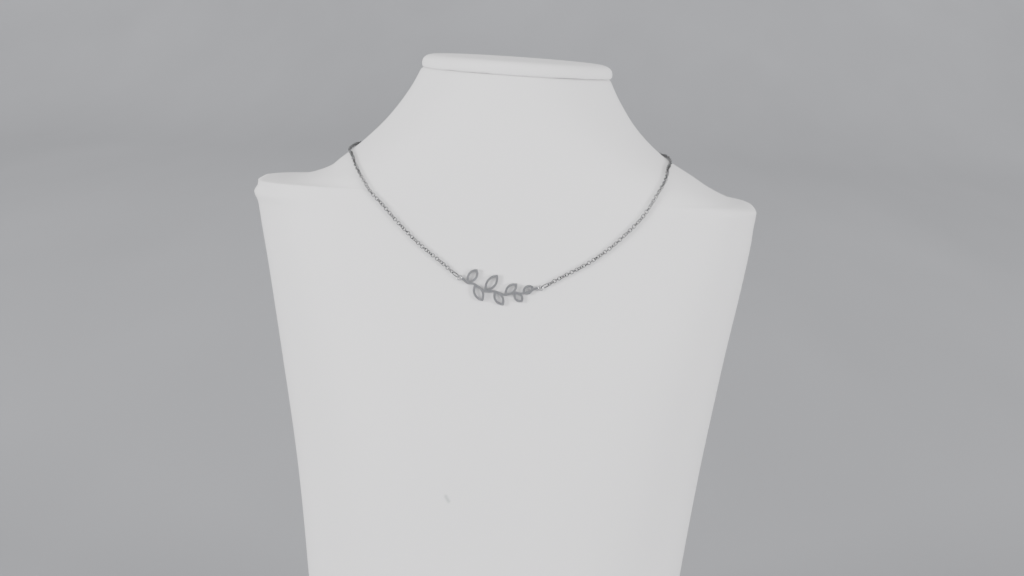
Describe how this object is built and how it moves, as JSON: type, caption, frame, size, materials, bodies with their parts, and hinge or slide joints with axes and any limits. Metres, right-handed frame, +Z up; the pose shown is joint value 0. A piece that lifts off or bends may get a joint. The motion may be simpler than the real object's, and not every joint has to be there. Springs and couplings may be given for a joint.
{
  "type": "nameplate necklace on neck bust",
  "caption": "Fine polished steel chain necklace with a pierced flourish plate in place of lettering, worn by a plain white padded neck bust with a capped neck.",
  "frame": {"origin": "centre of the whole object's box at its flat base", "axes": "+Z up along the neck, front with the plate towards -Y, +X to the right seen from the front"},
  "size_m": [0.196, 0.098, 0.2622],
  "materials": {
    "bust_cover": "matte white leatherette",
    "plate_steel": "polished steel",
    "chain_steel": "polished steel, a little darker in the gaps"
  },
  "bodies": {
    "root": {"bust": "bust_cover", "bust_cap": "bust_cover", "nameplate": "plate_steel", "end_link_left": "chain_steel", "end_link_right": "chain_steel", "chain_left": "chain_steel", "chain_right": "chain_steel", "clasp": "chain_steel"}
  },
  "joints": []
}
